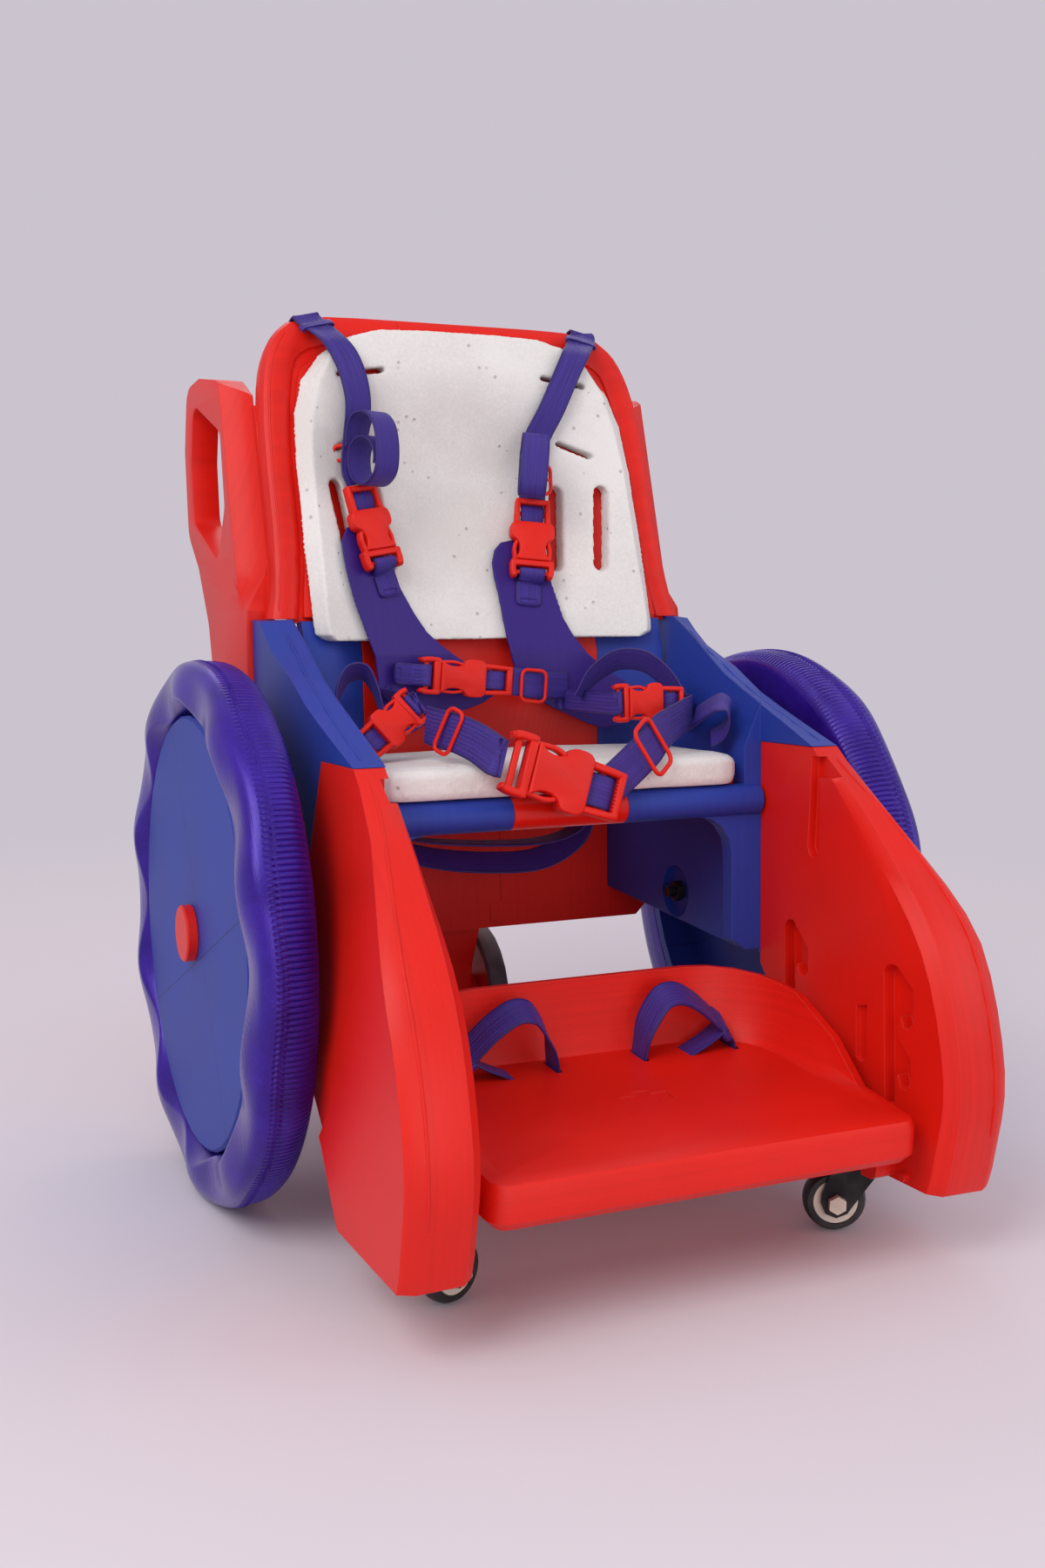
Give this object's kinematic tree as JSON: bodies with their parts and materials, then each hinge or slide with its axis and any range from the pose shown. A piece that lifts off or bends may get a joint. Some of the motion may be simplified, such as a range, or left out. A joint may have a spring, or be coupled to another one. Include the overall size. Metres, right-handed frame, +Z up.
{
  "type": "toddler mobility trainer",
  "caption": "Small printed wheelchair for a toddler: lobed push wheels, swivel casters, lifting footplate, foam pads, push handles and a buckled harness.",
  "frame": {"origin": "on the floor, below the middle of the machine's overall box", "axes": "-Y is the way the child faces, +X is the child's left, +Z is up"},
  "size_m": [0.4678, 0.5516, 0.5953],
  "materials": {
    "red_plastic": "satin printed plastic with fine layer lines",
    "blue_plastic": "satin printed plastic with fine layer lines",
    "purple_rubber": "silky printed flexible plastic, ribbed tread",
    "purple_webbing": "woven webbing with a soft sheen",
    "white_foam": "matt closed-cell foam",
    "black_steel": "black painted steel",
    "black_rubber": "black rubber",
    "grey_rubber": "dark grey rubber",
    "cream_plastic": "cream moulded plastic",
    "zinc_steel": "zinc plated steel"
  },
  "bodies": {
    "frame": {"arm_left": "red_plastic", "arm_right": "red_plastic", "axle_bolt_left": "zinc_steel", "axle_bolt_right": "zinc_steel", "axle_nut_left": "zinc_steel", "axle_nut_right": "zinc_steel", "back_pad": "white_foam", "back_shell": "red_plastic", "back_top_center": "red_plastic", "back_upright_left": "red_plastic", "back_upright_right": "red_plastic", "chest_plug": "red_plastic", "chest_strap": "purple_webbing", "hip_buckle_left": "red_plastic", "hip_buckle_right": "red_plastic", "lap_slider_left": "red_plastic", "lap_socket": "red_plastic", "lap_strap_left": "purple_webbing", "lap_strap_right": "purple_webbing", "rear_bracket": "red_plastic", "rear_panel_center": "red_plastic", "rear_panel_left": "red_plastic", "rear_panel_right": "red_plastic", "seat_pad": "white_foam", "seat_pan": "red_plastic", "seat_rail_center": "red_plastic", "shoulder_socket_left": "red_plastic", "shoulder_socket_right": "red_plastic", "shoulder_strap_left": "purple_webbing", "shoulder_strap_right": "purple_webbing", "side_frame_left": "blue_plastic", "side_frame_right": "blue_plastic", "vest_panel_left": "purple_webbing", "vest_panel_right": "purple_webbing"},
    "wheel_left": {"wheel_tyre_left": "purple_rubber", "wheel_disc_left": "blue_plastic", "hub_cap_left": "red_plastic", "wheel_bearing_left": "zinc_steel"},
    "caster_swivel_left": {"caster_fork_left": "black_steel"},
    "caster_wheel_left": {"caster_tyre_left": "black_rubber", "caster_hub_left": "cream_plastic"},
    "rear_wheel_left": {"rear_tyre_left": "grey_rubber", "rear_hub_left": "red_plastic"},
    "shoulder_clip_left": {"shoulder_plug_left": "red_plastic"},
    "wheel_right": {"wheel_tyre_right": "purple_rubber", "wheel_disc_right": "blue_plastic", "hub_cap_right": "red_plastic", "wheel_bearing_right": "zinc_steel"},
    "caster_swivel_right": {"caster_fork_right": "black_steel"},
    "caster_wheel_right": {"caster_tyre_right": "black_rubber", "caster_hub_right": "cream_plastic"},
    "rear_wheel_right": {"rear_tyre_right": "grey_rubber", "rear_hub_right": "red_plastic"},
    "shoulder_clip_right": {"shoulder_plug_right": "red_plastic"},
    "foot_tray": {"footplate": "red_plastic", "footplate_key": "red_plastic", "foot_strap_left": "purple_webbing", "foot_strap_right": "purple_webbing"},
    "chest_clip": {"chest_socket": "red_plastic"},
    "lap_clip": {"lap_plug": "red_plastic"}
  },
  "joints": [
    {"name": "wheel_spin_left", "type": "hinge", "parent": "frame", "child": "wheel_left", "pos_m": [0.2105, 0.03232, 0.1778], "axis": [1, 0, 0], "continuous": true},
    {"name": "wheel_spin_right", "type": "hinge", "parent": "frame", "child": "wheel_right", "pos_m": [-0.2105, 0.03232, 0.1778], "axis": [1, 0, 0], "continuous": true},
    {"name": "caster_swivel_turn_left", "type": "hinge", "parent": "frame", "child": "caster_swivel_left", "pos_m": [0.1464, -0.18962, 0], "axis": [0, 0, 1], "continuous": true},
    {"name": "caster_roll_left", "type": "hinge", "parent": "caster_swivel_left", "child": "caster_wheel_left", "pos_m": [0.13178, -0.18311, 0.02], "axis": [-0.4067, -0.9135, 0], "continuous": true},
    {"name": "caster_swivel_turn_right", "type": "hinge", "parent": "frame", "child": "caster_swivel_right", "pos_m": [-0.1464, -0.18962, 0], "axis": [0, 0, 1], "continuous": true},
    {"name": "caster_roll_right", "type": "hinge", "parent": "caster_swivel_right", "child": "caster_wheel_right", "pos_m": [-0.13178, -0.18311, 0.02], "axis": [-0.4067, 0.9135, 0], "continuous": true},
    {"name": "rear_wheel_spin_left", "type": "hinge", "parent": "frame", "child": "rear_wheel_left", "pos_m": [0.04, 0.19436, 0.07165], "axis": [1, 0, 0], "continuous": true},
    {"name": "rear_wheel_spin_right", "type": "hinge", "parent": "frame", "child": "rear_wheel_right", "pos_m": [-0.04, 0.19436, 0.07165], "axis": [1, 0, 0], "continuous": true},
    {"name": "footplate_lift", "type": "slide", "parent": "frame", "child": "foot_tray", "axis": [0, 0.0435, 0.9991], "range_m": [0, 0.075]},
    {"name": "shoulder_release_left", "type": "slide", "parent": "frame", "child": "shoulder_clip_left", "axis": [-0.1375, -0.3034, -0.9429], "range_m": [0, 0.014]},
    {"name": "shoulder_release_right", "type": "slide", "parent": "frame", "child": "shoulder_clip_right", "axis": [0.2318, -0.252, -0.9395], "range_m": [0, 0.014]},
    {"name": "chest_release", "type": "slide", "parent": "frame", "child": "chest_clip", "axis": [-0.996, 0.0039, 0.0896], "range_m": [0, 0.012]},
    {"name": "lap_release", "type": "slide", "parent": "frame", "child": "lap_clip", "axis": [0.9409, -0.0347, -0.3368], "range_m": [0, 0.012]}
  ]
}
